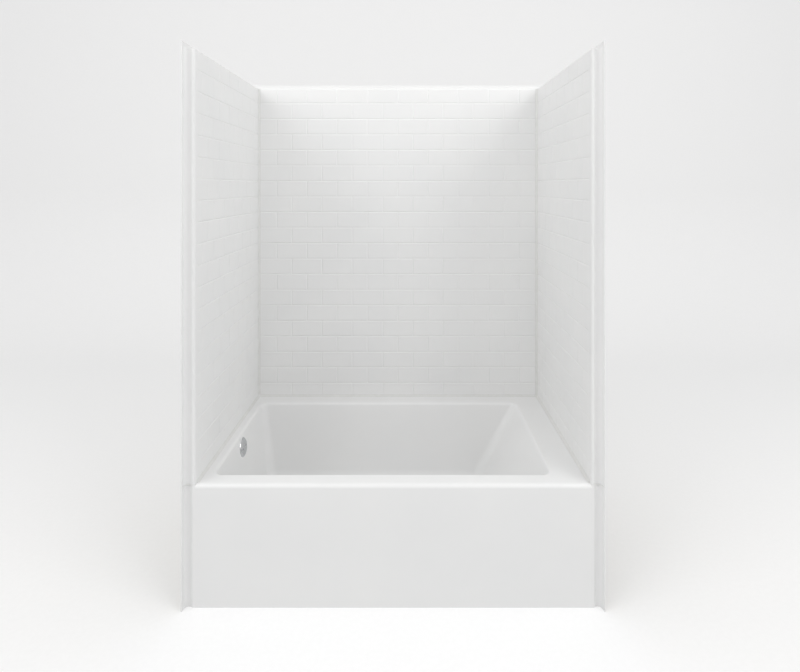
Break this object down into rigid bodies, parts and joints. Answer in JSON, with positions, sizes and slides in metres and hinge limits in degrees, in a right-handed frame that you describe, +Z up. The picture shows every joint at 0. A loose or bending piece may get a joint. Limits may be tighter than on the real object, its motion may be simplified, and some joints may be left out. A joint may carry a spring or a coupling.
{
  "type": "tub and shower unit",
  "caption": "Sectional alcove bathtub with three tile-patterned shower walls, plain apron, sloping backrest, left-hand waste and overflow, and a lift and turn drain stopper.",
  "frame": {"origin": "on the floor under the middle of the footprint", "axes": "+X to the right as seen from the room, +Y from the apron to the back wall, +Z up"},
  "size_m": [1.524, 0.813, 2.05],
  "materials": {
    "gelcoat": "white gelcoat, gloss",
    "sealant": "white silicone, satin",
    "zinc_steel": "zinc plated",
    "laminate_rib": "glass fibre laminate",
    "plywood": "raw plywood",
    "softwood": "planed softwood",
    "chrome_trim": "polished",
    "rough_brass": "rough brass, satin",
    "black_rubber": "matt"
  },
  "bodies": {
    "unit": {"tub_shell": "gelcoat", "back_wall": "gelcoat", "left_wall": "gelcoat", "right_wall": "gelcoat", "deck_seal": "sealant", "left_corner_seal": "sealant", "right_corner_seal": "sealant", "corner_bolts": "zinc_steel", "corner_washers": "zinc_steel", "corner_nuts": "zinc_steel", "deck_bolts": "zinc_steel", "deck_washers": "zinc_steel", "deck_nuts": "zinc_steel", "back_wall_ribs": "laminate_rib", "left_wall_backer": "plywood", "right_wall_backer": "plywood", "basin_floor_board": "plywood", "apron_stiffener": "plywood", "backrest_braces": "plywood", "support_runners": "softwood", "apron_batten": "softwood", "rear_legs": "softwood", "overflow_plate": "chrome_trim", "overflow_screws": "chrome_trim", "drain_flange": "chrome_trim", "waste_tee": "rough_brass", "tee_top_nut": "rough_brass", "tee_branch_nut": "rough_brass", "overflow_elbow": "rough_brass", "overflow_nut": "rough_brass", "overflow_tube": "rough_brass", "drain_shoe": "rough_brass", "branch_tube": "rough_brass", "stopper_post": "rough_brass", "tee_top_washer": "black_rubber", "tee_branch_washer": "black_rubber", "overflow_washer": "black_rubber", "overflow_gasket": "black_rubber", "drain_gasket": "black_rubber"},
    "stopper_slider": {"stopper_sleeve": "rough_brass", "stopper_seal": "black_rubber"},
    "stopper_top": {"stopper_cap": "chrome_trim", "stopper_knob": "chrome_trim"}
  },
  "joints": [
    {"name": "stopper_lift", "type": "slide", "parent": "unit", "child": "stopper_slider", "axis": [0, 0, 1], "range_m": [0, 0.008]},
    {"name": "stopper_turn", "type": "hinge", "parent": "stopper_slider", "child": "stopper_top", "pos_m": [-0.535, -0.0115, 0.11], "axis": [0, 0, 1], "range_deg": [0, 90]}
  ]
}
